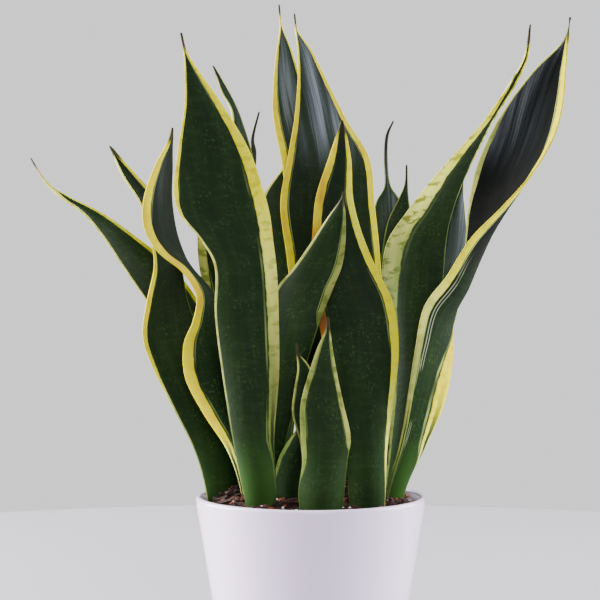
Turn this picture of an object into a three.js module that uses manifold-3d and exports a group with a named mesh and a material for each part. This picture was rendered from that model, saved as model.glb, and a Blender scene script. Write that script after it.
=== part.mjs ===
// A potted golden snake plant: a glazed pot, its soil, and twenty stiff leaves that stand in the soil.
// Millimetres, +Z up. The origin is the centre of the pot's flat base, +X is to the right of the
// front view, and +Y points away from the viewer.
import * as THREE from "three";
import { mergeVertices } from "three/addons/utils/BufferGeometryUtils.js";
import Module from "manifold-3d";

const wasm = await Module();
wasm.setup();

// Driving dimensions of the pot
const potHeight = 125;
const rimRadius = 70;
const wallSlope = 0.16;
const wall = 4;
const floorThickness = 6;
const footRadius = 3;
const potSides = 64;

// Driving dimensions of the soil
const soilBelowRim = 6;
const soilMound = 11;
const moundFootShare = 0.3;
const lowFront = 45;
const slopeLength = 55;
const soilGap = 0.35;
const soilRings = 13;
const soilSides = 60;
const crumbHeight = 1.5;
const crumbSize = 7;
const crumbFadeShare = 0.25;

// Driving dimensions of every leaf
const baseThickness = 4.2;
const bladeThickness = 2.2;
const marginThickness = 0.8;
const thickestShare = 0.9;
const baseCup = 0.3;
const cupFadesBy = 0.5;
const holeGap = 0.5;

const leafGreen = { color: 0x2a4420, roughness: 0.38, metalness: 0 };
const youngGreen = { color: 0x36602a, roughness: 0.4, metalness: 0 };
const greyGreen = { color: 0x3b4a48, roughness: 0.35, metalness: 0 };
const glaze = { color: 0xe6e2ee, roughness: 0.2, metalness: 0 };
const bark = { color: 0x3a2418, roughness: 0.95, metalness: 0 };

// Each leaf is a list of ribs from its buried foot to its tip. A rib is the left margin's point and
// the right margin's point at that place, each [across, depth, height]. cup is how far the middle of
// the blade stands out from the straight rib, as a share of its width: towards the viewer where
// it is above zero, and away from the viewer where it is below. A leaf whose cup changes on its way
// up has cups, one for each rib.
const leaves = {
  leaf_tall_front_left: {
    cup: 0.06,
    paint: leafGreen,
    ribs: [
      [[-35, -18, 96], [-26, -17, 95]],
      [[-39, -24, 126], [-21, -22, 126]],
      [[-46, -28, 161], [-22, -26, 161]],
      [[-52, -33, 200], [-19, -31, 200]],
      [[-56, -39, 235], [-19, -36, 234]],
      [[-56, -44, 263], [-20, -41, 261]],
      [[-64, -48, 279], [-22, -45, 278]],
      [[-76, -52, 294], [-24, -49, 294]],
      [[-79, -55, 309], [-28, -53, 309]],
      [[-76, -61, 331], [-36, -59, 331]],
      [[-72, -67, 355], [-51, -65, 356]],
      [[-72, -71, 381.5], [-68.5, -71, 381.5]],
      [[-74, -72, 395], [-73, -72, 395]],
    ],
  },
  leaf_broad_front_right: {
    cup: 0.06,
    paint: leafGreen,
    ribs: [
      [[27, -20, 96], [41, -20, 96]],
      [[23, -26, 127], [44, -26, 127]],
      [[21, -29, 155], [45, -27, 155]],
      [[15, -29, 185], [49, -28, 185]],
      [[8, -28, 215], [52, -29, 215]],
      [[3, -26, 241], [49, -27, 242]],
      [[0, -26, 265], [38, -26, 265]],
      [[1, -30, 284], [30, -25, 285]],
      [[3, -29, 305], [25, -25, 305]],
      [[10, -27, 327], [24, -25, 327]],
      [[16.5, -26, 346], [20.5, -26, 346]],
      [[18, -26, 351], [19, -26, 351]],
    ],
  },
  leaf_leaning_middle: {
    cup: 0.07,
    paint: leafGreen,
    ribs: [
      [[-33, 12, 91], [-24, 6, 92]],
      [[-34, 11, 121], [-21, 3, 122]],
      [[-33, 9, 152], [-16, -6, 153]],
      [[-32, -1, 183], [-9, -16, 183]],
      [[-29, -8, 211], [-1, -24, 211]],
      [[-26, -16, 233], [6, -35, 233]],
      [[-20, -25, 251], [13, -41, 251]],
      [[-11, -33, 262], [18, -45, 264]],
      [[-1, -40, 276], [20, -48, 278]],
      [[9, -46, 291], [20, -50, 293]],
      [[17, -48.5, 302], [19, -49.5, 302]],
      [[18, -49, 307], [19, -49, 307]],
    ],
  },
  leaf_short_front: {
    cup: 0.07,
    paint: leafGreen,
    ribs: [
      [[-2, -30, 97], [15, -30, 97]],
      [[-7, -36, 128], [19, -36, 128]],
      [[-5, -41, 149], [21, -39, 149]],
      [[-6, -44, 166], [23, -42, 164]],
      [[-6, -48, 184], [19, -46, 183]],
      [[-1, -53, 203], [15, -51, 201]],
      [[4, -58, 218], [12, -57, 218]],
      [[8.2, -61, 227], [10.8, -61, 227]],
      [[9, -62, 234.5], [10, -62, 234.5]],
    ],
  },
  leaf_tiny_middle: {
    cup: 0.08,
    paint: youngGreen,
    ribs: [
      [[-4, -12, 95], [3, -12, 95]],
      [[-4, -18, 130], [5, -18, 130]],
      [[-6, -27, 158], [6, -25, 158]],
      [[-11, -32, 177], [5, -30, 176]],
      [[-10, -36, 191], [4, -33, 192]],
      [[-8, -38, 203], [-1, -36, 205]],
      [[-8.5, -39, 213], [-6.5, -39, 212.5]],
      [[-9, -40, 219], [-8, -40, 219]],
    ],
  },
  leaf_young_middle: {
    cup: 0.1,
    paint: youngGreen,
    ribs: [
      [[-18, -6, 94], [-9, -8, 94]],
      [[-22, -10, 128], [-6, -12, 128]],
      [[-20, -14, 146], [-4, -16, 147]],
      [[-15, -16, 157], [-3, -19, 158]],
      [[-9, -18, 165.5], [-2, -20, 166.5]],
      [[-4.5, -20, 174], [-3.5, -20, 174]],
    ],
  },
  leaf_wavy_left: {
    cup: 0.08,
    paint: leafGreen,
    ribs: [
      [[-41, -4, 93], [-33, 0, 93]],
      [[-41, -9, 123], [-31, -6, 124]],
      [[-49, -11, 151], [-32, -7, 153]],
      [[-64, -14, 175], [-37, -4, 178]],
      [[-75, -18, 197], [-44, -5, 203]],
      [[-76, -22, 217], [-50, -8, 222]],
      [[-70, -24, 232], [-54, -10, 240]],
      [[-68, -26, 247], [-62, -10, 252.5]],
      [[-76, -32, 261], [-72, -8, 263]],
      [[-89, -40, 272], [-77, -10, 273]],
      [[-97, -46, 286], [-81, -16, 287]],
      [[-97, -47, 303], [-83, -22, 305]],
      [[-91, -45, 322], [-82, -30, 322]],
      [[-83.5, -41, 337], [-81.5, -37, 336.5]],
      [[-81.5, -40, 345], [-80.5, -40, 345]],
    ],
  },
  leaf_outer_left: {
    cups: [0.3, 0.24, 0.16, 0.1, 0.06, 0.03, 0, -0.05, -0.1, -0.12, -0.12, -0.12, -0.12],
    paint: leafGreen,
    ribs: [
      [[-59, 6, 92], [-46, 10, 92]],
      [[-64, 2, 127], [-46, 12, 127]],
      [[-71, 2, 152], [-47, 12, 155]],
      [[-83, 0, 176], [-55, 13, 181]],
      [[-95, -2, 200], [-63, 12, 207]],
      [[-102, -4, 221], [-70, 11, 227]],
      [[-100, -3, 242], [-76, 10, 245]],
      [[-95, -5, 264], [-80, 12, 266]],
      [[-97, -5, 282], [-85, 12, 284]],
      [[-104, -1, 303], [-91, 11, 302]],
      [[-115, 3, 320], [-104, 9, 318]],
      [[-122, 7, 334.5], [-119, 6, 334]],
      [[-124, 7, 339], [-123, 7, 339]],
    ],
  },
  leaf_far_left: {
    cups: [0.3, 0.24, 0.16, 0.08, 0, -0.05, -0.09, -0.12, -0.12, -0.12, -0.12, -0.12],
    paint: leafGreen,
    ribs: [
      [[-55, 20, 89], [-44, 26, 88]],
      [[-59, 18, 126], [-44, 27, 127]],
      [[-65, 19, 157], [-47, 32, 162]],
      [[-75, 19, 188], [-52, 36, 196]],
      [[-86, 21, 216], [-62, 40, 226]],
      [[-100, 22, 240], [-77, 41, 252]],
      [[-115, 23, 262], [-94, 40, 271]],
      [[-130, 25, 284], [-114, 38, 287]],
      [[-143, 26, 299], [-131, 34, 299]],
      [[-156, 28, 308], [-151, 32, 309]],
      [[-166.5, 30.5, 318.5], [-165, 31.5, 317.5]],
      [[-177.5, 34, 334], [-176.5, 34, 334]],
    ],
  },
  leaf_hidden_left: {
    cup: -0.06,
    paint: leafGreen,
    ribs: [
      [[-38, 18, 90], [-28, 24, 89]],
      [[-40, 18, 126], [-25, 24, 125]],
      [[-49, 16, 163], [-26, 24, 163]],
      [[-59, 14, 207], [-30, 23, 207]],
      [[-65, 12, 244], [-33, 22, 244]],
      [[-69, 9, 270], [-38, 21, 272]],
      [[-69, 8, 292], [-45, 17, 294]],
      [[-65, 7, 312], [-54, 13, 312.5]],
      [[-61, 10, 327.5], [-60, 10, 327.5]],
    ],
  },
  leaf_back_left: {
    cup: -0.06,
    paint: leafGreen,
    ribs: [
      [[-30, 32, 87], [-20, 34, 87]],
      [[-33, 32, 124], [-18, 35, 124]],
      [[-39, 32, 162], [-17, 36, 162]],
      [[-46, 32, 206], [-18, 37, 206]],
      [[-51, 34, 244], [-22, 40, 244]],
      [[-54, 36, 276], [-26, 42, 276]],
      [[-56, 38, 305], [-31, 44, 305]],
      [[-53, 42, 334], [-36, 47, 334]],
      [[-50, 47, 362], [-44, 49, 361]],
      [[-57, 50, 378], [-52, 51, 379]],
      [[-61.5, 53, 391.5], [-59.5, 53, 391.5]],
      [[-63, 54, 395.5], [-62, 54, 395.5]],
    ],
  },
  leaf_slim_back: {
    cup: -0.06,
    paint: leafGreen,
    ribs: [
      [[-36, 42, 86], [-27, 42, 86]],
      [[-38, 42, 123], [-28, 43, 123]],
      [[-40, 43, 167], [-27, 45, 167]],
      [[-43, 48, 219], [-27, 50, 218]],
      [[-45, 54, 264], [-28, 56, 264]],
      [[-47, 60, 299], [-31, 62, 300]],
      [[-44, 65, 323], [-35, 67, 323]],
      [[-39, 69, 341], [-35, 69, 341]],
      [[-38.5, 71.5, 351], [-36.5, 71.5, 351]],
      [[-34, 77, 368.5], [-33, 77, 368.5]],
    ],
  },
  leaf_low_back: {
    cup: -0.06,
    paint: leafGreen,
    ribs: [
      [[-24, 46, 85], [-15, 46, 85]],
      [[-27, 48, 122], [-14, 48, 122]],
      [[-28, 53, 167], [-10, 51, 167]],
      [[-30, 58, 212], [-5, 55, 212]],
      [[-32, 65, 251], [-2, 62, 251]],
      [[-33, 72, 284], [-1, 69, 284]],
      [[-32, 77, 310], [-1, 74, 311]],
      [[-20, 81, 329], [-2, 79, 332]],
      [[-10.5, 82.5, 340], [-5, 81.5, 341]],
      [[-4, 84, 350.5], [-3, 84, 350.5]],
    ],
  },
  leaf_tall_back: {
    cup: -0.05,
    paint: leafGreen,
    ribs: [
      [[-8, 42, 86], [3, 42, 86]],
      [[-9, 42, 123], [5, 42, 123]],
      [[-9, 43, 167], [10, 43, 167]],
      [[-9, 47, 212], [15, 47, 212]],
      [[-10, 53, 257], [19, 52, 257]],
      [[-14, 60, 296], [19, 58, 296]],
      [[-18, 67, 332], [14, 64, 330]],
      [[-24, 73, 364], [4, 72, 363]],
      [[-24, 79, 389], [-5, 79, 387]],
      [[-22, 85, 411], [-12, 85, 411]],
      [[-20, 90.5, 427], [-18, 90.5, 427]],
      [[-21, 96, 443], [-20, 96, 443]],
    ],
  },
  leaf_broad_back: {
    cup: -0.05,
    paint: leafGreen,
    ribs: [
      [[1, 26, 88], [16, 24, 89]],
      [[-1, 27, 125], [20, 24, 125]],
      [[-4, 30, 162], [26, 25, 163]],
      [[-8, 33, 200], [35, 26, 199]],
      [[-11, 37, 238], [45, 29, 235]],
      [[-15, 41, 273], [44, 33, 272]],
      [[-19, 45, 305], [41, 37, 304]],
      [[-15, 49, 332], [38, 41, 334]],
      [[-10, 54, 362], [24, 48, 359]],
      [[-8, 59, 386], [11, 55, 386]],
      [[-8, 63, 406], [1, 61, 407]],
      [[-9.5, 65.5, 420], [-7.5, 65.5, 420]],
      [[-10.5, 70, 432], [-9.5, 70, 432]],
    ],
  },
  leaf_long_tip_right: {
    cup: -0.05,
    paint: leafGreen,
    ribs: [
      [[18, 42, 86], [27, 40, 86]],
      [[17, 44, 123], [29, 42, 123]],
      [[21, 46, 167], [38, 43, 168]],
      [[26, 50, 212], [50, 46, 212]],
      [[32, 56, 251], [59, 52, 251]],
      [[39, 62, 283], [64, 59, 283]],
      [[43, 67, 307], [60, 65, 307]],
      [[49, 70, 319], [53, 70, 320]],
      [[49, 75, 338], [51.4, 75, 338]],
      [[50.3, 79, 353], [52.3, 79, 353]],
      [[55, 82, 363], [56, 82, 363]],
    ],
  },
  leaf_small_tip_right: {
    cup: -0.06,
    paint: leafGreen,
    ribs: [
      [[31, 28, 88], [40, 28, 88]],
      [[29, 30, 124], [40, 30, 124]],
      [[33, 32, 162], [50, 31, 162]],
      [[38, 35, 200], [60, 33, 200]],
      [[42, 41, 238], [67, 38, 238]],
      [[46, 47, 273], [69, 44, 273]],
      [[50, 52, 294], [66, 50, 294]],
      [[57, 55, 309], [64, 54, 308]],
      [[61.5, 57.5, 319.5], [63.5, 57.5, 319.5]],
      [[62.5, 61, 332], [63.5, 61, 332]],
    ],
  },
  leaf_inner_right: {
    cup: -0.07,
    paint: leafGreen,
    ribs: [
      [[44, 4, 92], [53, 8, 91]],
      [[45, 6, 127], [59, 12, 127]],
      [[48, 4, 158], [68, 14, 160]],
      [[49, 4, 192], [77, 17, 196]],
      [[46, 4, 226], [81, 19, 230]],
      [[44, 4, 255], [83, 20, 257]],
      [[47, 4, 279], [85, 20, 282]],
      [[60, 6, 299], [89, 20, 300]],
      [[75, 9, 318], [96, 21, 319]],
      [[91, 11, 336], [106, 19, 340]],
      [[107, 16, 354], [115, 20, 357]],
      [[117, 20, 368], [124, 22, 371]],
      [[126, 22, 382], [131, 23, 383]],
      [[134, 24.5, 396.5], [137, 24.5, 398]],
      [[138, 28, 417.5], [139, 28, 417.5]],
    ],
  },
  leaf_channel_right: {
    cups: [0.3, 0.14, 0.06, 0.03, 0.05, 0.14, 0.22, 0.24, 0.24, 0.24, 0.24, 0.24, 0.24, 0.24, 0.24],
    paint: leafGreen,
    ribs: [
      [[44, -10, 94], [52, -2, 93]],
      [[46, -13, 128], [57, 0, 128]],
      [[53, -24, 158], [70.5, -3, 157]],
      [[57, -32, 185], [81.5, -3, 182]],
      [[61, -39, 214], [87, -1, 211]],
      [[66, -43, 240], [86, -1, 232]],
      [[79, -45, 258], [89, -2, 252]],
      [[93, -46, 280], [94, -4, 276]],
      [[111, -44, 298], [96, -4, 299]],
      [[129, -42, 318], [100, -6, 322]],
      [[142, -39, 339], [108, -11, 343]],
      [[148, -36, 359], [118, -19, 361]],
      [[150, -35, 379], [132, -27, 380]],
      [[151, -35.5, 396], [148.5, -33.5, 397]],
      [[151.5, -38, 410], [152.5, -38, 410]],
    ],
  },
  leaf_grey_right: {
    cup: 0.08,
    paint: greyGreen,
    ribs: [
      [[41, 22, 89], [49, 24, 89]],
      [[42, 24, 125], [53, 27, 125]],
      [[53, 26, 169], [72, 32, 170]],
      [[64, 31, 213], [88, 39, 216]],
      [[75, 37, 251], [98, 45, 254]],
      [[83, 43, 279], [101, 50, 281]],
      [[90, 49, 301], [100, 53, 302]],
      [[95.5, 54, 314], [99, 55, 314]],
      [[98.5, 57, 322], [99.5, 57, 322]],
    ],
  },
};

// The places across a blade where its section has a point, from the left margin to the right
const across = [-1, -0.68, -0.25, 0.25, 0.68, 1];
const ringsPerRib = 2;

const smooth = (x) => {
  const t = THREE.MathUtils.clamp(x, 0, 1);
  return t * t * (3 - 2 * t);
};

function margin(ribs, side) {
  const points = ribs.map((rib) => new THREE.Vector3(...rib[side]));
  return new THREE.CatmullRomCurve3(points, false, "catmullrom", 0.5);
}

function cupAt({ cup, cups }, t) {
  if (!cups) {
    return THREE.MathUtils.lerp(Math.sign(cup) * baseCup, cup, smooth(t / cupFadesBy));
  }
  const place = t * (cups.length - 1);
  const rib = Math.min(Math.floor(place), cups.length - 2);
  return THREE.MathUtils.lerp(cups[rib], cups[rib + 1], place - rib);
}

// The points of a blade's middle surface: one row of them for each ring from foot to tip
function middleSurface(leaf, upTo) {
  const { ribs } = leaf;
  const left = margin(ribs, 0);
  const right = margin(ribs, 1);
  const rings = Math.round((ribs.length - 1) * ringsPerRib * upTo);
  const rows = [];
  for (let ring = 0; ring <= rings; ring += 1) {
    const t = (ring / rings) * upTo;
    const from = left.getPoint(t);
    const to = right.getPoint(t);
    const along = left.getTangent(t).add(right.getTangent(t)).normalize();
    const rib = to.clone().sub(from);
    const out = rib.clone().cross(along).normalize();
    const depth = rib.length() * cupAt(leaf, t);
    rows.push(
      across.map((u) =>
        from.clone().lerp(to, (u + 1) / 2).addScaledVector(out, depth * (1 - u * u)),
      ),
    );
  }
  return { rows, rings };
}

// Both faces of a blade around its middle surface, closed at the foot and the tip. Each square of
// the two faces is split along the same diagonal, so a waved blade's faces never cross.
function bladeGeometry(leaf, extra = 0, upTo = 1) {
  const { rows, rings } = middleSurface(leaf, upTo);
  const last = across.length - 1;
  const positions = [];
  rows.forEach((row, ring) => {
    const below = rows[Math.max(ring - 1, 0)];
    const above = rows[Math.min(ring + 1, rings)];
    const width = row[0].distanceTo(row[last]);
    const grown = smooth(((ring / rings) * upTo) / cupFadesBy);
    const thickness = THREE.MathUtils.lerp(baseThickness, bladeThickness, grown);
    const middle = Math.min(thickness, thickestShare * width);
    const edge = Math.min(marginThickness, middle);
    const faces = row.map((point, i) => {
      const sideways = row[Math.min(i + 1, last)].clone().sub(row[Math.max(i - 1, 0)]);
      const upwards = above[i].clone().sub(below[i]);
      const normal = sideways.cross(upwards).normalize();
      const half = (edge + (middle - edge) * Math.sqrt(1 - across[i] ** 2)) / 2 + extra;
      return { point, normal, half };
    });
    const widen = row[last].clone().sub(row[0]).normalize().multiplyScalar(extra);
    faces[0].point = row[0].clone().sub(widen);
    faces[last].point = row[last].clone().add(widen);
    for (const side of [1, -1]) {
      for (const { point, normal, half } of faces) {
        positions.push(...point.clone().addScaledVector(normal, side * half).toArray());
      }
    }
  });

  const loop = 2 * across.length;
  const at = (ring, side, i) => ring * loop + side * across.length + i;
  const triangles = [];
  for (let ring = 0; ring < rings; ring += 1) {
    for (let i = 0; i < last; i += 1) {
      const [a, b] = [at(ring, 0, i), at(ring, 0, i + 1)];
      const [c, d] = [at(ring + 1, 0, i + 1), at(ring + 1, 0, i)];
      triangles.push(a, b, c, a, c, d);
      const [e, f] = [at(ring, 1, i), at(ring, 1, i + 1)];
      const [g, h] = [at(ring + 1, 1, i + 1), at(ring + 1, 1, i)];
      triangles.push(e, g, f, e, h, g);
    }
    for (const [i, front, back] of [[0, 0, 1], [last, 1, 0]]) {
      const [a, b] = [at(ring, front, i), at(ring + 1, front, i)];
      const [c, d] = [at(ring + 1, back, i), at(ring, back, i)];
      triangles.push(a, b, c, a, c, d);
    }
  }
  for (let i = 0; i < last; i += 1) {
    const [a, b] = [at(0, 0, i), at(0, 0, i + 1)];
    const [c, d] = [at(0, 1, i + 1), at(0, 1, i)];
    triangles.push(a, c, b, a, d, c);
    const [e, f] = [at(rings, 0, i), at(rings, 0, i + 1)];
    const [g, h] = [at(rings, 1, i + 1), at(rings, 1, i)];
    triangles.push(e, f, g, e, g, h);
  }
  const geometry = new THREE.BufferGeometry();
  geometry.setAttribute("position", new THREE.Float32BufferAttribute(positions, 3));
  geometry.setIndex(triangles);
  return geometry;
}

// The pot: a straight taper with a softly rounded lip and a flat base
const outerRadius = (height) => rimRadius - wallSlope * (potHeight - height);
const innerRadius = (height) => outerRadius(height) - wall;

function potGeometry() {
  const lip = wall / 2;
  const profile = new THREE.Path();
  profile.moveTo(0, 0);
  profile.lineTo(outerRadius(0) - footRadius, 0);
  profile.quadraticCurveTo(outerRadius(0), 0, outerRadius(footRadius), footRadius);
  profile.lineTo(outerRadius(potHeight - lip), potHeight - lip);
  profile.absarc(rimRadius - lip, potHeight - lip, lip, 0, Math.PI, false);
  profile.lineTo(innerRadius(floorThickness + footRadius), floorThickness + footRadius);
  const corner = innerRadius(floorThickness);
  profile.quadraticCurveTo(corner, floorThickness, corner - footRadius, floorThickness);
  profile.lineTo(0, floorThickness);
  const points = profile.getPoints(3);
  return new THREE.LatheGeometry(points, potSides).rotateX(Math.PI / 2);
}

// Bark crumbs: a lump of its own height for each cell of the soil's surface. The last digits of a
// large sine set it, so that neighbouring cells differ.
const columnStep = 127.1;
const rowStep = 311.7;
const sineScale = 43758.5;

function lump(column, row) {
  const wave = Math.sin(column * columnStep + row * rowStep) * sineScale;
  return wave - Math.floor(wave);
}

function crumbs(x, y) {
  const [u, v] = [x / crumbSize, y / crumbSize];
  const [column, row] = [Math.floor(u), Math.floor(v)];
  const [s, t] = [smooth(u - column), smooth(v - row)];
  const near = THREE.MathUtils.lerp(lump(column, row), lump(column + 1, row), s);
  const far = THREE.MathUtils.lerp(lump(column, row + 1), lump(column + 1, row + 1), s);
  return crumbHeight * (2 * THREE.MathUtils.lerp(near, far, t) - 1);
}

// The soil fills the pot up to just below the rim. It is mounded around the leaves, and the mound
// rises from the front of the pot, where the soil is low, to the middle and stays high behind.
function soilGeometry() {
  const top = potHeight - soilBelowRim;
  const bottom = floorThickness + soilGap;
  const wallRadius = innerRadius(top) - soilGap;
  const positions = [0, 0, top + soilMound * smooth(lowFront / slopeLength) + crumbs(0, 0)];
  const triangles = [];
  for (let ring = 1; ring <= soilRings; ring += 1) {
    const radius = (wallRadius * ring) / soilRings;
    for (let side = 0; side < soilSides; side += 1) {
      const angle = (2 * Math.PI * side) / soilSides;
      const [x, y] = [radius * Math.cos(angle), radius * Math.sin(angle)];
      const inside = 1 - ring / soilRings;
      const rise = smooth(inside / moundFootShare) * smooth((y + lowFront) / slopeLength);
      const lumps = crumbs(x, y) * smooth(inside / crumbFadeShare);
      positions.push(x, y, top + soilMound * rise + lumps);
    }
  }
  const floorRadius = innerRadius(bottom) - footRadius - soilGap;
  const shoulder = floorThickness + footRadius;
  for (const [radius, height] of [[innerRadius(shoulder) - soilGap, shoulder], [floorRadius, bottom]]) {
    for (let side = 0; side < soilSides; side += 1) {
      const angle = (2 * Math.PI * side) / soilSides;
      positions.push(radius * Math.cos(angle), radius * Math.sin(angle), height);
    }
  }
  positions.push(0, 0, bottom);
  const foot = positions.length / 3 - 1;
  const at = (ring, side) => 1 + (ring - 1) * soilSides + (side % soilSides);
  for (let side = 0; side < soilSides; side += 1) {
    triangles.push(0, at(1, side), at(1, side + 1));
    for (let ring = 1; ring < soilRings + 2; ring += 1) {
      const [a, b] = [at(ring, side), at(ring, side + 1)];
      const [c, d] = [at(ring + 1, side + 1), at(ring + 1, side)];
      triangles.push(a, d, c, a, c, b);
    }
    triangles.push(foot, at(soilRings + 2, side + 1), at(soilRings + 2, side));
  }
  const geometry = new THREE.BufferGeometry();
  geometry.setAttribute("position", new THREE.Float32BufferAttribute(positions, 3));
  geometry.setIndex(triangles);
  return geometry;
}

function solid(geometry) {
  for (const name of ["normal", "uv"]) {
    geometry.deleteAttribute(name);
  }
  const merged = mergeVertices(geometry, 1e-4);
  return new wasm.Manifold(
    new wasm.Mesh({
      numProp: 3,
      vertProperties: Float32Array.from(merged.attributes.position.array),
      triVerts: Uint32Array.from(merged.index.array),
    }),
  );
}

function meshGeometry(body) {
  const { vertProperties, triVerts } = body.getMesh();
  const geometry = new THREE.BufferGeometry();
  geometry.setAttribute("position", new THREE.BufferAttribute(vertProperties, 3));
  geometry.setIndex(new THREE.BufferAttribute(triVerts, 1));
  return geometry;
}

// A hole is the foot of its leaf with a little room all round, open at the top of the soil
const holeUpTo = 2;

function holes() {
  return Object.values(leaves).map((leaf) => {
    const foot = leaf.ribs[0].map((point, side) => {
      const next = leaf.ribs[1][side];
      const down = new THREE.Vector3(...point).sub(new THREE.Vector3(...next)).setLength(holeGap);
      return new THREE.Vector3(...point).add(down).toArray();
    });
    const ribs = [foot, ...leaf.ribs.slice(1)];
    return solid(bladeGeometry({ ...leaf, ribs }, holeGap, holeUpTo / (ribs.length - 1)));
  });
}

function piece(name, geometry, paint) {
  geometry.computeVertexNormals();
  const mesh = new THREE.Mesh(geometry, new THREE.MeshStandardMaterial(paint));
  mesh.name = name;
  return mesh;
}

const plant = new THREE.Group();
plant.add(piece("pot", potGeometry(), glaze));
const soil = holes().reduce((body, hole) => body.subtract(hole), solid(soilGeometry()));
plant.add(piece("soil", meshGeometry(soil), bark));
for (const [name, leaf] of Object.entries(leaves)) {
  plant.add(piece(name, bladeGeometry(leaf), leaf.paint));
}

export default plant;
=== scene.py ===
import math
import random

import bmesh
import bpy
from mathutils import Matrix, Vector, noise


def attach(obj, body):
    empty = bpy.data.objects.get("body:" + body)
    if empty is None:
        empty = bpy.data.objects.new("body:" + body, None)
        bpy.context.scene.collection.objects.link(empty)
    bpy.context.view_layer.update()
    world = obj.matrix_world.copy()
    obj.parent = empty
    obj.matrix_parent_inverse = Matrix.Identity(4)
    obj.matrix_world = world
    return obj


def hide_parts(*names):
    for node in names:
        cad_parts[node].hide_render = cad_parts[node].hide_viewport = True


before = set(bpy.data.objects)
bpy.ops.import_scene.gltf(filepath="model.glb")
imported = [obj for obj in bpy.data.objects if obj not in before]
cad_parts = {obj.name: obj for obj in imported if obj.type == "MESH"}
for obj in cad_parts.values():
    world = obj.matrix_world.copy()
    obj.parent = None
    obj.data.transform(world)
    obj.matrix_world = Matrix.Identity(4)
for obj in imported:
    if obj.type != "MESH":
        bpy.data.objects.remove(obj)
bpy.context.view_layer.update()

# Camera. A short telephoto lens at leaf height, level, a little left of the pot's axis, so that the
# rim is seen as a thin ellipse from just above.
camera_place = (-0.0064, -0.94, 0.2442)
film_width = 36
focal_length = 92.3
camera = bpy.data.objects.new("camera", bpy.data.cameras.new("camera"))
camera.location = camera_place
camera.rotation_euler = (math.radians(90), 0, 0)
camera.data.sensor_width = film_width
camera.data.lens = focal_length
bpy.context.scene.collection.objects.link(camera)
bpy.context.scene.camera = camera


# Pot. A cast earthenware cover pot, a straight taper with a softly rounded lip, dipped in a smooth
# white glaze with a faint cool tint. Only the ring that it stands on is left unglazed.
class Paint:
    """A value or colour on a surface. Sums and products of values add Math nodes."""

    def __init__(self, finish, socket):
        self.finish = finish
        self.socket = socket

    def output(self, name):
        return Paint(self.finish, self.socket.node.outputs[name])

    def __add__(self, other):
        return self.finish.maths("ADD", self, other)

    def __sub__(self, other):
        return self.finish.maths("SUBTRACT", self, other)

    def __mul__(self, other):
        return self.finish.maths("MULTIPLY", self, other)

    def __truediv__(self, other):
        return self.finish.maths("DIVIDE", self, other)

    def __radd__(self, other):
        return self.finish.maths("ADD", other, self)

    def __rsub__(self, other):
        return self.finish.maths("SUBTRACT", other, self)

    def __rmul__(self, other):
        return self.finish.maths("MULTIPLY", other, self)

    def __rtruediv__(self, other):
        return self.finish.maths("DIVIDE", other, self)


class Finish:
    """A material on one Principled surface, with its colours and values made by nodes."""

    def __init__(self, name, **constants):
        self.material = bpy.data.materials.new(name)
        self.material.use_nodes = True
        self.tree = self.material.node_tree
        self.surface = self.tree.nodes["Principled BSDF"]
        for socket, value in constants.items():
            self.surface.inputs[socket.replace("_", " ")].default_value = value

    def node(self, kind, settings=None, sockets=None, output=0):
        node = self.tree.nodes.new(kind)
        for name, value in (settings or {}).items():
            if name == "stops":
                for index, (place, colour) in enumerate(value):
                    if index >= len(node.color_ramp.elements):
                        node.color_ramp.elements.new(place)
                    node.color_ramp.elements[index].position = place
                    node.color_ramp.elements[index].color = colour
            else:
                setattr(node, name, value)
        for name, value in (sockets or {}).items():
            if isinstance(value, Paint):
                self.tree.links.new(value.socket, node.inputs[name])
            else:
                node.inputs[name].default_value = value
        return Paint(self, node.outputs[output])

    def maths(self, operation, first, second=0.0):
        return self.node("ShaderNodeMath", {"operation": operation}, {0: first, 1: second})

    def step(self, value, low, high):
        """0 below low, 1 above high, and smooth between them."""
        settings = {"interpolation_type": "SMOOTHSTEP"}
        sockets = {"Value": value, "From Min": low, "From Max": high}
        return self.node("ShaderNodeMapRange", settings, sockets)

    def blend(self, mask, under, over):
        """under where mask is 0, and over where it is 1."""
        return self.node("ShaderNodeMix", {"data_type": "RGBA"}, {0: mask, 6: under, 7: over}, 2)

    def feed(self, **sockets):
        for name, value in sockets.items():
            self.tree.links.new(value.socket, self.surface.inputs[name.replace("_", " ")])


def shade(red, green, blue):
    """A colour as a paint chart gives it, 0 to 255, made ready for a shader."""
    chart = [channel / 255 for channel in (red, green, blue)]
    return (*[c / 12.92 if c < 0.04 else ((c + 0.055) / 1.055) ** 2.4 for c in chart], 1.0)


def placed(name, bm, finish, slot, *nodes):
    """Turns a finished bmesh into a piece that rides on the pot and stands for its CAD nodes."""
    mesh = bpy.data.meshes.new(name)
    bm.to_mesh(mesh)
    bm.free()
    mesh.materials.append(finish.material)
    piece = bpy.data.objects.new(name, mesh)
    bpy.context.scene.collection.objects.link(piece)
    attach(piece, "root")
    if nodes:
        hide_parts(*nodes)
    return piece


pot_height = 0.125
rim_radius = 0.070
wall_slope = 0.16
wall = 0.004
floor_thickness = 0.006
foot_radius = 0.003
turned_sides = 160
lip_turn = 15


def outer_radius(height):
    return rim_radius - wall_slope * (pot_height - height)


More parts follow.
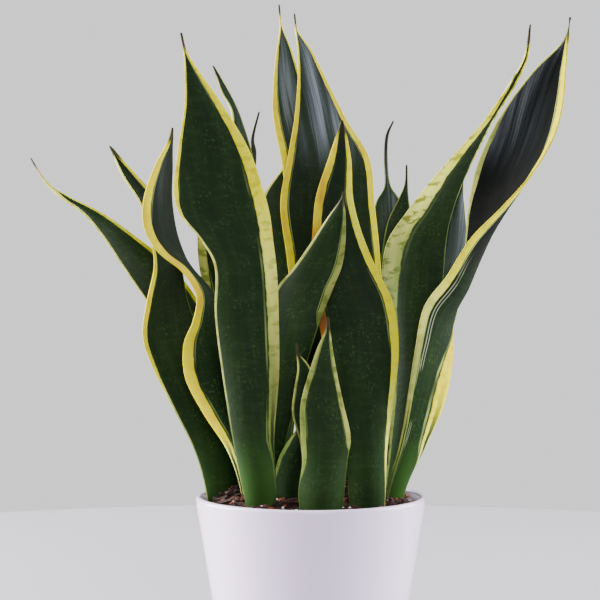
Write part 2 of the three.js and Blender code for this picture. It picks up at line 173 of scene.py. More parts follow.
glaze = Finish("white_glaze", Coat_Weight=0.4, Coat_Roughness=0.04)
spot = glaze.node("ShaderNodeTexCoord", output="Object")
cloud = glaze.node("ShaderNodeTexNoise", None, {"Vector": spot, "Scale": 14.0, "Detail": 2.0})
ripple = glaze.node("ShaderNodeTexNoise", None, {"Vector": spot, "Scale": 45.0, "Detail": 1.0})
height = glaze.node("ShaderNodeSeparateXYZ", None, {"Vector": spot}, "Z")
bare = 1 - glaze.step(height, 0.0002, 0.0006)
white = glaze.blend(cloud, shade(244, 226, 255), shade(248, 230, 255))
glaze.feed(
    Base_Color=glaze.blend(bare, white, shade(214, 204, 190)),
    Roughness=0.16 + cloud * 0.06 + bare * 0.6,
    Normal=glaze.node(
        "ShaderNodeBump", None, {"Height": ripple, "Strength": 0.12, "Distance": 0.0004}
    ),
)

bm = bmesh.new()
lip = wall / 2
inner = outer_radius(floor_thickness + foot_radius) - wall
lip_turns = [math.radians(turn) for turn in range(0, 181, lip_turn)]
lip_arc = [
    (rim_radius - lip + lip * math.cos(turn), pot_height - lip + lip * math.sin(turn))
    for turn in lip_turns
]
foot_arc = [
    (outer_radius(0) - foot_radius * (1 - share) ** 2, foot_radius * share**2)
    for share in (0, 0.25, 0.5, 0.75, 1)
]
outline = [
    (0, 0),
    *foot_arc,
    *lip_arc,
    (inner, floor_thickness + foot_radius),
    (inner - foot_radius, floor_thickness),
    (0, floor_thickness),
]
rim = [bm.verts.new((x, 0, z)) for x, z in outline]
edges = [bm.edges.new(pair) for pair in zip(rim, rim[1:])]
bmesh.ops.spin(
    bm,
    geom=rim + edges,
    cent=(0, 0, 0),
    axis=(0, 0, 1),
    angle=math.tau,
    steps=turned_sides,
    use_merge=True,
)
bmesh.ops.remove_doubles(bm, verts=bm.verts[:], dist=1e-6)
bmesh.ops.recalc_face_normals(bm, faces=bm.faces[:])
for face in bm.faces:
    face.smooth = True
placed("glazed_pot", bm, glaze, "glaze", "pot")


# Front leaves. A leaf is one stiff, fleshy blade: thick and cupped at its foot, thin at the margins,
# and drawn out to a hard brown point. Waxy dark green with faint cross bands, edged in yellow.
def smooth(share):
    share = min(max(share, 0.0), 1.0)
    return share * share * (3 - 2 * share)


def between(low, high, share):
    return low + (high - low) * share


def on_margin(points, share):
    """The point, and the direction towards the tip, at a share of the way up a leaf's margin."""
    place = share * (len(points) - 1)
    first = min(int(place), len(points) - 2)
    s = place - first
    b, c = points[first], points[first + 1]
    a = points[first - 1] if first > 0 else 2 * b - c
    d = points[first + 2] if first + 2 < len(points) else 2 * c - b
    bend = 2 * a - 5 * b + 4 * c - d
    turn = 3 * b - a - 3 * c + d
    point = b + ((c - a) * s + bend * s**2 + turn * s**3) / 2
    return point, (c - a + 2 * bend * s + 3 * turn * s**2).normalized()


def at_height(rows, height, column):
    """The value in that column of a leaf's margin table at a height in millimetres."""
    below = rows[0]
    for above in rows:
        if above[0] >= height:
            share = (height - below[0]) / max(above[0] - below[0], 1e-6)
            return between(below[column], above[column], min(max(share, 0), 1))
        below = above
    return below[column]


def hollow(cup, share):
    """How far a blade stands out from its straight ribs at a share of the way up, per width."""
    if isinstance(cup, float):
        return between(math.copysign(foot_cup, cup), cup, smooth(2 * share))
    place = share * (len(cup) - 1)
    rib = min(int(place), len(cup) - 2)
    return between(cup[rib], cup[rib + 1], place - rib)


foot_thickness = 4.2
blade_thickness = 2.2
margin_thickness = 0.8
thickest_share = 0.9
foot_cup = 0.3
blade_columns = 26
rows_per_rib = 8
sheen_rise = 40
sheen_spread = 0.6
usual_tip = 10
noise_step = 7.3

leaf_skin = Finish("waxy_leaf", Specular_IOR_Level=0.1)
# where: across and along the blade in millimetres, and back from its tip, 10 where the point ends
where = leaf_skin.node("ShaderNodeAttribute", {"attribute_name": "where"}, output="Vector")
where = leaf_skin.node("ShaderNodeSeparateXYZ", None, {0: where})
across, along, from_tip = where, where.output("Y"), where.output("Z")
# edges: how many margin widths in from the left and the right edge, and how far the margin is split
edges = leaf_skin.node("ShaderNodeAttribute", {"attribute_name": "edges"}, output="Vector")
edges = leaf_skin.node("ShaderNodeSeparateXYZ", None, {0: edges})
left_in, right_in, split = edges, edges.output("Y"), edges.output("Z")
# tones: how green the left and the right margin are, and how much painted grey sheen the blade has
tones = leaf_skin.node("ShaderNodeAttribute", {"attribute_name": "tones"}, output="Vector")
tones = leaf_skin.node("ShaderNodeSeparateXYZ", None, {0: tones})
left_green, right_green, painted_sheen = tones, tones.output("Y"), tones.output("Z")
# habit: how strong the cross bands in the margins are, how much painted shade darkens the green, and
# how strong the pale lines beside the margins are
habit = leaf_skin.node("ShaderNodeAttribute", {"attribute_name": "habit"}, output="Vector")
habit = leaf_skin.node("ShaderNodeSeparateXYZ", None, {0: habit})
banding, painted_shade, pins = habit, habit.output("Y"), habit.output("Z")
# growth: height above the pot's rim in millimetres, how much painted light brightens the foot, and the
# leaf's number
growth = leaf_skin.node("ShaderNodeAttribute", {"attribute_name": "growth"}, output="Vector")
growth = leaf_skin.node("ShaderNodeSeparateXYZ", None, {0: growth})
above_rim, painted_foot_light, number = growth, growth.output("Y"), growth.output("Z")


def leaf_noise(wide, long, detail=2.0, distortion=0.0):
    """Noise whose patches are about so many millimetres wide across the blade and long along it."""
    place = {0: across / wide, 1: along / long, 2: number * noise_step}
    vector = leaf_skin.node("ShaderNodeCombineXYZ", None, place)
    sockets = {"Vector": vector, "Scale": 1.0, "Detail": detail, "Distortion": distortion}
    return leaf_skin.node("ShaderNodeTexNoise", None, sockets)


# The margins: their edge wavers, and their yellow turns green or brown, with blotches and bands
waver = (leaf_noise(30, 9, 3.0) - 0.5) * 0.3
left_margin = leaf_skin.step(left_in + waver, 1.06, 0.94)
right_margin = leaf_skin.step(right_in + waver, 1.06, 0.94)
margin = leaf_skin.maths("MAXIMUM", left_margin, right_margin)
inward = leaf_skin.maths("MINIMUM", left_in, right_in)
on_left = leaf_skin.maths("LESS_THAN", left_in, right_in)
greenness = left_green * on_left + right_green * (1 - on_left)

streaks = leaf_noise(0.5, 60, 2.0)
fine_streaks = leaf_noise(0.22, 35, 1.0)
marks = leaf_skin.step(leaf_noise(9, 5.2, 3.0, 0.2), 0.5, 0.62)
tinge = (greenness + 0.25) * 0.8 + (leaf_noise(6, 22) - 0.5) * 0.24
yellow = leaf_skin.node(
    "ShaderNodeValToRGB",
    {"stops": [
        (0.0, shade(126, 74, 36)),
        (0.1, shade(172, 108, 40)),
        (0.2, shade(220, 207, 0)),
        (0.4, shade(231, 228, 6)),
        (0.6, shade(236, 242, 112)),
        (0.8, shade(160, 166, 84)),
        (1.0, shade(54, 86, 22)),
    ]},
    {0: tinge},
)
blotches = leaf_skin.step(leaf_noise(5, 13, 3.0, 0.5), 0.52, 0.72)
blotches = blotches * leaf_skin.step(greenness, 0.8, 0.3)
blotches = blotches * leaf_skin.step(greenness, -0.2, 0.1) * 0.45
yellow = leaf_skin.blend(blotches, yellow, shade(222, 172, 0))
marked = leaf_skin.step(greenness, 0.2, 0.9)
mark_colour = leaf_skin.blend(marked, shade(150, 156, 0), shade(70, 84, 22))
yellow = leaf_skin.blend(marks * banding, yellow, mark_colour)
inner_half = leaf_skin.step(inward, 0.55, 1.0) * marked * 0.35
yellow = leaf_skin.blend(inner_half, yellow, shade(120, 150, 50))

# The green: cross bands, clusters of pale specks, painted light on the foot, painted shade above, and a
# painted grey sheen in long streaks
bands = leaf_skin.step(leaf_noise(11, 3.6, 4.0, 0.8), 0.46, 0.7)
speckles = leaf_skin.step(leaf_noise(1.5, 1.9, 2.0), 0.52, 0.7)
speckles = speckles * leaf_skin.step(leaf_noise(9, 16, 2.0), 0.4, 0.64)
stripes = leaf_skin.step(leaf_noise(2.6, 50, 2.0), 0.45, 0.75)
green = leaf_skin.blend(leaf_noise(8, 45), shade(12, 26, 11), shade(30, 52, 20))
pale = bands * 0.08 + speckles * 0.3 + stripes * 0.07
green = leaf_skin.blend(pale, green, shade(66, 92, 50))
# Painted light: the foot of a lit leaf is painted a brighter green, by its share in growth.
foot = leaf_skin.step(above_rim + (leaf_noise(7, 30) - 0.5) * 30, 52, 4) * painted_foot_light
green = leaf_skin.blend(foot * 0.8, green, shade(46, 80, 26))
# Painted sheen: long grey streaks on the upper blade stand for the reflection of the light on it.
sheen = leaf_skin.step(leaf_noise(5, 110, 2.0) * 0.65 + streaks * 0.35, 0.4, 0.68)
# Painted shade: the green above is darkened towards black on leaves that lie in shade.
green = leaf_skin.blend(painted_shade * leaf_skin.step(above_rim, 90, 175), green, shade(5, 9, 6))
green = leaf_skin.blend(painted_sheen * (0.12 + sheen * 0.88), green, shade(150, 160, 172))

# Pale lines beside the margins: one on most leaves, and two more low on the boldest
pin_line = leaf_skin.step(inward, 1.08, 1.14) * leaf_skin.step(inward, 1.3, 1.22)
pin_line = pin_line * leaf_skin.step(leaf_noise(40, 45), 0.42, 0.6)
next_line = leaf_skin.step(left_in, 1.42, 1.5) * leaf_skin.step(left_in, 1.66, 1.58)
last_line = leaf_skin.step(left_in, 1.92, 2.0) * leaf_skin.step(left_in, 2.14, 2.06)
outer_lines = (next_line + last_line) * leaf_skin.step(pins, 0.6, 1.0)
outer_lines = outer_lines * leaf_skin.step(above_rim, 150, 125)
outer_lines = outer_lines * leaf_skin.step(leaf_noise(40, 30), 0.36, 0.5) * 0.6
green = leaf_skin.blend(pin_line * pins, green, shade(150, 168, 96))
green = leaf_skin.blend(outer_lines, green, shade(180, 188, 150))

split_line = leaf_skin.step(inward + waver, 0.2, 0.3) * leaf_skin.step(inward + waver, 0.74, 0.64)
margin = margin * (1 - split_line * split)
skin = leaf_skin.blend(margin, green, yellow)
point = leaf_skin.step(from_tip + (leaf_noise(3, 6) - 0.5) * 4, 13, 6)
skin = leaf_skin.blend(point * 0.95, skin, shade(38, 36, 24))
wax = 0.44 + (leaf_noise(6, 12) - 0.5) * 0.14
relief = streaks + fine_streaks * 0.5 + bands * 0.35
leaf_skin.feed(
    Base_Color=skin,
    Roughness=wax + leaf_skin.step(above_rim, 110, 20) * 0.2 + painted_shade * 0.4,
    Normal=leaf_skin.node(
        "ShaderNodeBump", None, {"Height": relief, "Strength": 0.3, "Distance": 0.00025}
    ),
)

feet = []


def grow_leaf(
    name,
    cup,
    ribs,
    margins,
    split=(0, 1),
    painted_foot_light=0.3,
    painted_sheen=(0.0, 0, 0.0),
    tip=usual_tip,
    bands=0.4,
    dark=0.0,
    pins=0.5,
):
    """One leaf from its ribs, each the left and the right margin's point in millimetres. margins is
    a table of height, left margin's width and greenness, and right margin's width and greenness.
    Greenness runs from -0.25 for brown, which is painted shade on a margin in shadow, through 0 for
    yellow to 1 for green. cup is one share for the whole blade or a list of one for each rib. A dark
    line splits the margins up to the heights in split. painted_foot_light is how much painted light
    brightens the foot. painted_sheen is how strong the painted grey sheen is, the height where it
    begins and where across the blade it is centred, -1 for the left margin and 1 for the right. tip
    is the length of the hard point. bands, dark and pins are the shares for the cross bands in the
    margins, the painted shade that darkens the green above and the pale lines."""
    left = [Vector(rib[0]) for rib in ribs]
    right = [Vector(rib[1]) for rib in ribs]
    rows = rows_per_rib * (len(ribs) - 1)
    us = [math.sin(math.pi * (column / blade_columns - 0.5)) for column in range(blade_columns + 1)]
    sheet, spans, halves, lengths = [], [], [], [0.0]
    for row in range(rows + 1):
        start, left_up = on_margin(left, row / rows)
        end, right_up = on_margin(right, row / rows)
        rib = end - start
        out = rib.cross(left_up + right_up).normalized()
        grown = smooth(2 * row / rows)
        sag = rib.length * hollow(cup, row / rows)
        sheet.append([start.lerp(end, (u + 1) / 2) + out * sag * (1 - u * u) for u in us])
        spans.append((start, end, rib.length))
        middle = min(between(foot_thickness, blade_thickness, grown), thickest_share * rib.length)
        edge = min(margin_thickness, middle)
        halves.append([(edge + (middle - edge) * math.sqrt(1 - u * u)) / 2 for u in us])
        if row:
            step = sheet[row][blade_columns // 2] - sheet[row - 1][blade_columns // 2]
            lengths.append(lengths[-1] + step.length)

    bm = bmesh.new()
    bmesh.ops.create_grid(bm, x_segments=blade_columns, y_segments=rows, size=1)
    bmesh.ops.solidify(bm, geom=bm.faces[:], thickness=0.1)
    names = ("where", "edges", "tones", "growth", "habit")
    layers = [bm.verts.layers.float_vector.new(layer) for layer in names]
    for vert in bm.verts:
        column = round((vert.co.x + 1) / 2 * blade_columns)
        row = round((vert.co.y + 1) / 2 * rows)
        face = 1 if abs(vert.co.z) < 0.05 else -1
        sideways = sheet[row][min(column + 1, blade_columns)] - sheet[row][max(column - 1, 0)]
        upwards = sheet[min(row + 1, rows)][column] - sheet[max(row - 1, 0)][column]
        normal = sideways.cross(upwards).normalized()
        point = sheet[row][column] + normal * face * halves[row][column]
        start, end, width = spans[row]
        u = us[column]
        low, high = split
        strength, lowest, centre = painted_sheen
        # The painted sheen rises from its lowest height and fades across the blade away from its
        # centre.
        grey = smooth((point.z - lowest) / sheen_rise)
        grey *= math.exp(-(((u - centre) / sheen_spread) ** 2))
        values = (
            (u * width / 2, lengths[row], (lengths[-1] - lengths[row]) * usual_tip / tip),
            (
                (u + 1) / 2 * width / at_height(margins, start.z, 1),
                (1 - u) / 2 * width / at_height(margins, end.z, 3),
                1 - smooth((point.z - low) / (high - low)),
            ),
            (
                at_height(margins, start.z, 2),
                at_height(margins, end.z, 4),
                strength * grey,
            ),
            (point.z - pot_height * 1000, painted_foot_light, len(feet)),
            (bands, dark, pins),
        )
        for layer, value in zip(layers, values):
            vert[layer] = value
        vert.co = point / 1000
    bmesh.ops.recalc_face_normals(bm, faces=bm.faces[:])
    for each in bm.faces:
        each.smooth = True
    feet.append((left[1] / 1000, right[1] / 1000))
    placed("blade_" + name, bm, leaf_skin, "leaf", "leaf_" + name)


grow_leaf(
    "tall_front_left",
    cup=0.06,
    ribs=[
        ((-35, -18, 96), (-26, -17, 95)),
        ((-39, -24, 126), (-21, -22, 126)),
        ((-46, -28, 161), (-22, -26, 161)),
        ((-52, -33, 200), (-19, -31, 200)),
        ((-56, -39, 235), (-19, -36, 234)),
        ((-56, -44, 263), (-20, -41, 261)),
        ((-64, -48, 279), (-22, -45, 278)),
        ((-76, -52, 294), (-24, -49, 294)),
        ((-79, -55, 309), (-28, -53, 309)),
        ((-76, -61, 331), (-36, -59, 331)),
        ((-72, -67, 355), (-51, -65, 356)),
        ((-72, -71, 381.5), (-68.5, -71, 381.5)),
        ((-74, -72, 395), (-73, -72, 395)),
    ],
    margins=[
        (125, 0.4, 1, 0.4, 1),
        (150, 0.5, 1, 1.8, 0.95),
        (161, 0.7, 0.95, 4.2, 0.9),
        (185, 1.2, 0.85, 5.6, 0.85),
        (215, 1.2, 0.8, 6.8, 0.75),
        (244, 1.3, 0.75, 7.2, 0.6),
        (273, 1.4, 0.6, 7.4, 0.45),
        (290, 1.9, 0.45, 7.6, 0.35),
        (307, 2.8, 0.2, 7.4, 0.25),
        (325, 2.2, 0.1, 6.4, 0.15),
        (341, 1.5, 0.1, 5.4, 0.08),
        (360, 1.2, 0.2, 3.8, 0.1),
        (381, 0.9, 0.3, 1.4, 0.3),
        (395, 0.35, 0.5, 0.35, 0.5),
    ],
    split=(158, 206),
    painted_foot_light=1,
    bands=0.45,
)
grow_leaf(
    "broad_front_right",
    cup=0.06,
    ribs=[
        ((27, -20, 96), (41, -20, 96)),
        ((23, -26, 127), (44, -26, 127)),
        ((21, -29, 155), (45, -27, 155)),
        ((15, -29, 185), (49, -28, 185)),
        ((8, -28, 215), (52, -29, 215)),
        ((3, -26, 241), (49, -27, 242)),
        ((0, -26, 265), (38, -26, 265)),
        ((1, -30, 284), (30, -25, 285)),
        ((3, -29, 305), (25, -25, 305)),
        ((10, -27, 327), (24, -25, 327)),
        ((16.5, -26, 346), (20.5, -26, 346)),
        ((18, -26, 351), (19, -26, 351)),
    ],
    margins=[
        (127, 0.4, 1, 0.8, 0.85),
        (149, 0.4, 1, 1.8, 0.6),
        (160, 0.4, 1, 2.4, 0.5),
        (179, 0.4, 1, 3.4, 0.36),
        (200, 0.5, 0.9, 4.2, 0.3),
        # Painted shade: from 215 to 303 mm the left margin is olive to brown, its yellow where it lies
        # in shadow between leaves.
        (215, 2, 0.3, 4.8, 0.26),
        (226, 5, -0.22, 5.2, 0.24),
        (240, 5.5, -0.25, 5.3, 0.24),
        (252, 4.6, -0.14, 5, 0.22),
        (274, 4.6, -0.1, 4.6, 0.26),
        (303, 4.9, -0.06, 4.4, 0.34),
        (327, 4.2, 0.04, 3, 0.25),
        (340, 2, 0.1, 1.8, 0.1),
        (346, 0.8, 0.4, 0.8, 0.3),
        (351, 0.35, 0.4, 0.35, 0.4),
    ],
    painted_foot_light=0.2,
    bands=0.15,
    dark=0.4,
)
grow_leaf(
    "leaning_middle",
    cup=0.07,
    ribs=[
        ((-33, 12, 91), (-24, 6, 92)),
        ((-34, 11, 121), (-21, 3, 122)),
        ((-33, 9, 152), (-16, -6, 153)),
        ((-32, -1, 183), (-9, -16, 183)),
        ((-29, -8, 211), (-1, -24, 211)),
        ((-26, -16, 233), (6, -35, 233)),
        ((-20, -25, 251), (13, -41, 251)),
        ((-11, -33, 262), (18, -45, 264)),
        ((-1, -40, 276), (20, -48, 278)),
        ((9, -46, 291), (20, -50, 293)),
        ((17, -48.5, 302), (19, -49.5, 302)),
        ((18, -49, 307), (19, -49, 307)),
    ],
    margins=[
        (120, 0.4, 1, 0.4, 1),
        (152, 0.5, 1, 0.4, 1),
        (183, 0.8, 0.9, 0.4, 1),
        (211, 1.5, 0.8, 0.4, 1),
        (228, 1.9, 0.75, 0.6, 0.95),
        (238, 2, 0.72, 3.4, 0.9),
        (251, 2.1, 0.7, 4.2, 0.86),
        (264, 2.2, 0.68, 3.7, 0.84),
        (278, 2.1, 0.66, 2.8, 0.84),
        (292, 1.6, 0.64, 1.4, 0.86),
        (302, 1, 0.6, 0.7, 0.75),
        (307, 0.5, 0.6, 0.5, 0.6),
    ],
    painted_foot_light=0.15,
    bands=0.6,
)
grow_leaf(
    "short_front",
    cup=0.07,
    ribs=[
        ((-2, -30, 97), (15, -30, 97)),
        ((-7, -36, 128), (19, -36, 128)),
        ((-5, -41, 149), (21, -39, 149)),
        ((-6, -44, 166), (23, -42, 164)),
        ((-6, -48, 184), (19, -46, 183)),
        ((-1, -53, 203), (15, -51, 201)),
        ((4, -58, 218), (12, -57, 218)),
        ((8.2, -61, 227), (10.8, -61, 227)),
        ((9, -62, 234.5), (10, -62, 234.5)),
    ],
    margins=[
        (127, 0.4, 1, 0.4, 1),
        (138, 0.4, 1, 0.4, 1),
        (150, 2.6, 0.92, 0.5, 1),
        (156, 3, 0.9, 0.6, 0.95),
        (159, 3.1, 0.9, 2.2, 0.85),
        (162, 3.2, 0.89, 2.9, 0.75),
        (166, 3.4, 0.88, 3, 0.7),
        (184, 3.2, 0.88, 2.6, 0.78),
        (203, 2.6, 0.85, 2.2, 0.78),
        (218, 1.6, 0.8, 1.5, 0.76),
        (226, 0.9, 0.8, 0.9, 0.7),
        (234.5, 0.5, 0.7, 0.5, 0.7),
    ],
    painted_foot_light=0.3,
    bands=0.75,
)
grow_leaf(
    "tiny_middle",
    cup=0.08,
    ribs=[
        ((-4, -12, 95), (3, -12, 95)),
        ((-4, -18, 130), (5, -18, 130)),
        ((-6, -27, 158), (6, -25, 158)),
        ((-11, -32, 177), (5, -30, 176)),
        ((-10, -36, 191), (4, -33, 192)),
        ((-8, -38, 203), (-1, -36, 205)),
        ((-8.5, -39, 213), (-6.5, -39, 212.5)),
        ((-9, -40, 219), (-8, -40, 219)),
    ],
    margins=[
        (128, 0.4, 1, 0.4, 1),
        (158, 0.9, 0.85, 0.8, 0.9),
        (177, 1.2, 0.75, 1.2, 0.85),
        (192, 1.2, 0.75, 1.4, 0.8),
        (204, 1, 0.7, 1.2, 0.65),
        (219, 0.5, 0.7, 0.5, 0.6),
    ],
    painted_foot_light=0.1,
    bands=0.6,
)
grow_leaf(
    "young_middle",
    cup=0.1,
    ribs=[
        ((-18, -6, 94), (-9, -8, 94)),
        ((-22, -10, 128), (-6, -12, 128)),
        ((-20, -14, 146), (-4, -16, 147)),
        ((-15, -16, 157), (-3, -19, 158)),
        ((-9, -18, 165.5), (-2, -20, 166.5)),
        ((-4.5, -20, 174), (-3.5, -20, 174)),
    ],
    margins=[
        (128, 0.5, 1, 0.4, 1),
        (146, 2.2, 0.95, 0.6, 1),
        (157, 2.8, 0.9, 0.8, 0.95),
        (166, 1.8, 0.88, 0.8, 0.9),
        (174, 0.35, 0.8, 0.35, 0.8),
    ],
    painted_foot_light=0.05,
    bands=0.8,
)

# Left leaves. Two waved ones and a long one that leans out over the pot's edge, with one behind them
# of which a broad banded margin shows.
grow_leaf(
    "wavy_left",
    cup=0.08,
    ribs=[
        ((-41, -4, 93), (-33, 0, 93)),
        ((-41, -9, 123), (-31, -6, 124)),
        ((-49, -11, 151), (-32, -7, 153)),
        ((-64, -14, 175), (-37, -4, 178)),
        ((-75, -18, 197), (-44, -5, 203)),
        ((-76, -22, 217), (-50, -8, 222)),
        ((-70, -24, 232), (-54, -10, 240)),
        ((-68, -26, 247), (-62, -10, 252.5)),
        ((-76, -32, 261), (-72, -8, 263)),
        ((-89, -40, 272), (-77, -10, 273)),
        ((-97, -46, 286), (-81, -16, 287)),
        ((-97, -47, 303), (-83, -22, 305)),
        ((-91, -45, 322), (-82, -30, 322)),
        ((-83.5, -41, 337), (-81.5, -37, 336.5)),
        ((-81.5, -40, 345), (-80.5, -40, 345)),
    ],
    margins=[
        (123, 1.4, 0.8, 0.5, 1),
        (137, 2.4, 0.7, 0.5, 1),
        (151, 3.6, 0.5, 0.5, 1),
        (165, 5, 0.2, 0.5, 1),
        (175, 5.6, 0.08, 0.5, 1),
        (197, 6, 0.02, 0.5, 1),
        (217, 5.6, 0, 0.5, 1),
        (232, 4.6, 0, 0.5, 0.9),
        (247, 4.6, 0, 0.5, 0.8),
        (261, 5.2, 0, 0.5, 0.7),
        (286, 5.4, 0, 0.5, 0.7),
        (303, 4.8, 0.02, 0.5, 0.7),
        (322, 3.2, 0.06, 0.5, 0.7),
        (337, 1.2, 0.2, 0.5, 0.7),
        (345, 0.35, 0.5, 0.35, 0.7),
    ],
    split=(146, 170),
    painted_foot_light=0.3,
    painted_sheen=(0.12, 280, -0.3),
    dark=0.75,
    bands=0.15,
)
grow_leaf(
    "outer_left",
    cup=[0.3, 0.24, 0.16, 0.1, 0.06, 0.03, 0, -0.05, -0.1, -0.12, -0.12, -0.12, -0.12],
    ribs=[
        ((-59, 6, 92), (-46, 10, 92)),
        ((-64, 2, 127), (-46, 12, 127)),
        ((-71, 2, 152), (-47, 12, 155)),
        ((-83, 0, 176), (-55, 13, 181)),
        ((-95, -2, 200), (-63, 12, 207)),
        ((-102, -4, 221), (-70, 11, 227)),
        ((-100, -3, 242), (-76, 10, 245)),
        ((-95, -5, 264), (-80, 12, 266)),
        ((-97, -5, 282), (-85, 12, 284)),
        ((-104, -1, 303), (-91, 11, 302)),
        ((-115, 3, 320), (-104, 9, 318)),
        ((-122, 7, 334.5), (-119, 6, 334)),
        ((-124, 7, 339), (-123, 7, 339)),
    ],
    margins=[
        (127, 0.5, 0.9, 0.5, 1),
        (152, 0.7, 0.85, 0.5, 1),
        (176, 1, 0.7, 0.5, 1),
        (200, 1.8, 0.25, 0.5, 1),
        (221, 2.6, 0.05, 0.5, 1),
        (242, 2.8, 0.03, 0.5, 1),
        (264, 2, 0.1, 0.6, 0.9),
        (276, 1, 0.2, 1.8, 0.2),
        (290, 0.6, 0.5, 3, 0.06),
        (303, 0.6, 0.5, 3.2, 0.04),
        (320, 0.6, 0.5, 2.4, 0.06),
        (334, 0.5, 0.5, 0.8, 0.3),
        (339, 0.35, 0.5, 0.35, 0.5),
    ],
    painted_foot_light=0.35,
    bands=0.2,
    dark=0.6,
)
grow_leaf(
    "far_left",
    cup=[0.3, 0.24, 0.16, 0.08, 0, -0.05, -0.09, -0.12, -0.12, -0.12, -0.12, -0.12],
    ribs=[
        ((-55, 20, 89), (-44, 26, 88)),
        ((-59, 18, 126), (-44, 27, 127)),
        ((-65, 19, 157), (-47, 32, 162)),
        ((-75, 19, 188), (-52, 36, 196)),
        ((-86, 21, 216), (-62, 40, 226)),
        ((-100, 22, 240), (-77, 41, 252)),
        ((-115, 23, 262), (-94, 40, 271)),
        ((-130, 25, 284), (-114, 38, 287)),
        ((-143, 26, 299), (-131, 34, 299)),
        ((-156, 28, 308), (-151, 32, 309)),
        ((-166.5, 30.5, 318.5), (-165, 31.5, 317.5)),
        ((-177.5, 34, 334), (-176.5, 34, 334)),
    ],
    margins=[
        (126, 0.5, 0.9, 0.6, 0.9),
        (157, 0.5, 0.85, 0.8, 0.8),
        (188, 0.5, 0.8, 1.2, 0.6),
        (216, 0.5, 0.75, 1.8, 0.4),
        (240, 0.5, 0.7, 2.4, 0.2),
        (262, 0.5, 0.65, 2.6, 0.12),
        (285, 0.6, 0.6, 2.4, 0.1),
        (299, 0.8, 0.5, 2, 0.15),
        (309, 1.2, 0.4, 1.4, 0.3),
        (334, 0.35, 0.6, 0.35, 0.6),
    ],
    painted_foot_light=0.3,
)
grow_leaf(
    "hidden_left",
    cup=-0.06,
    ribs=[
        ((-38, 18, 90), (-28, 24, 89)),
        ((-40, 18, 126), (-25, 24, 125)),
        ((-49, 16, 163), (-26, 24, 163)),
        ((-59, 14, 207), (-30, 23, 207)),
        ((-65, 12, 244), (-33, 22, 244)),
        ((-69, 9, 270), (-38, 21, 272)),
        ((-69, 8, 292), (-45, 17, 294)),
        ((-65, 7, 312), (-54, 13, 312.5)),
        ((-61, 10, 327.5), (-60, 10, 327.5)),
    ],
    margins=[
        (125, 0.6, 1, 0.5, 1),
        (163, 2.6, 0.95, 0.8, 0.95),
        (207, 4.2, 0.9, 1.2, 0.9),
        (244, 5.2, 0.8, 1.5, 0.85),
        (271, 5.3, 0.66, 2, 0.8),
        (292, 4.4, 0.55, 2, 0.7),
        (312, 2.6, 0.5, 1.5, 0.6),
        (327, 0.5, 0.5, 0.5, 0.5),
    ],
    painted_foot_light=0.3,
    bands=0.7,
)

# Right leaves. One is folded lengthwise like a channel, one has a very broad banded margin, and one
# stands behind them, blue-grey from a painted sheen.
grow_leaf(
    "inner_right",
    cup=-0.07,
    ribs=[
        ((44, 4, 92), (53, 8, 91)),
        ((45, 6, 127), (59, 12, 127)),
        ((48, 4, 158), (68, 14, 160)),
        ((49, 4, 192), (77, 17, 196)),
        ((46, 4, 226), (81, 19, 230)),
        ((44, 4, 255), (83, 20, 257)),
        ((47, 4, 279), (85, 20, 282)),
        ((60, 6, 299), (89, 20, 300)),
        ((75, 9, 318), (96, 21, 319)),
        ((91, 11, 336), (106, 19, 340)),
        ((107, 16, 354), (115, 20, 357)),
        ((117, 20, 368), (124, 22, 371)),
        ((126, 22, 382), (131, 23, 383)),
        ((134, 24.5, 396.5), (137, 24.5, 398)),
        ((138, 28, 417.5), (139, 28, 417.5)),
    ],
    margins=[
        (127, 1.2, 0.95, 0.4, 1),
        (158, 2.2, 0.92, 0.4, 1),
        (192, 5, 0.9, 0.4, 1),
        (226, 9, 0.9, 0.4, 1),
        (255, 12.5, 0.88, 0.4, 1),
        (279, 14, 0.78, 0.4, 1),
        (300, 13, 0.62, 0.4, 1),
        (318, 10, 0.42, 0.5, 0.9),
        (336, 7.2, 0.35, 1.2, 0.6),
        (354, 4.6, 0.25, 1.5, 0.5),
        (368, 2.6, 0.15, 1.6, 0.3),
        (382, 0.6, 0.6, 1.6, 0.15),
        (397, 0.7, 0.3, 0.8, 0.2),
        (417, 0.3, 0.6, 0.3, 0.6),
    ],
    painted_foot_light=0.3,
    # The strong cross bands are the margin's own marks, made stronger as painted shade where the margin
    # lies in shadow.
    bands=0.9,
    pins=0.1,
    tip=17,
)
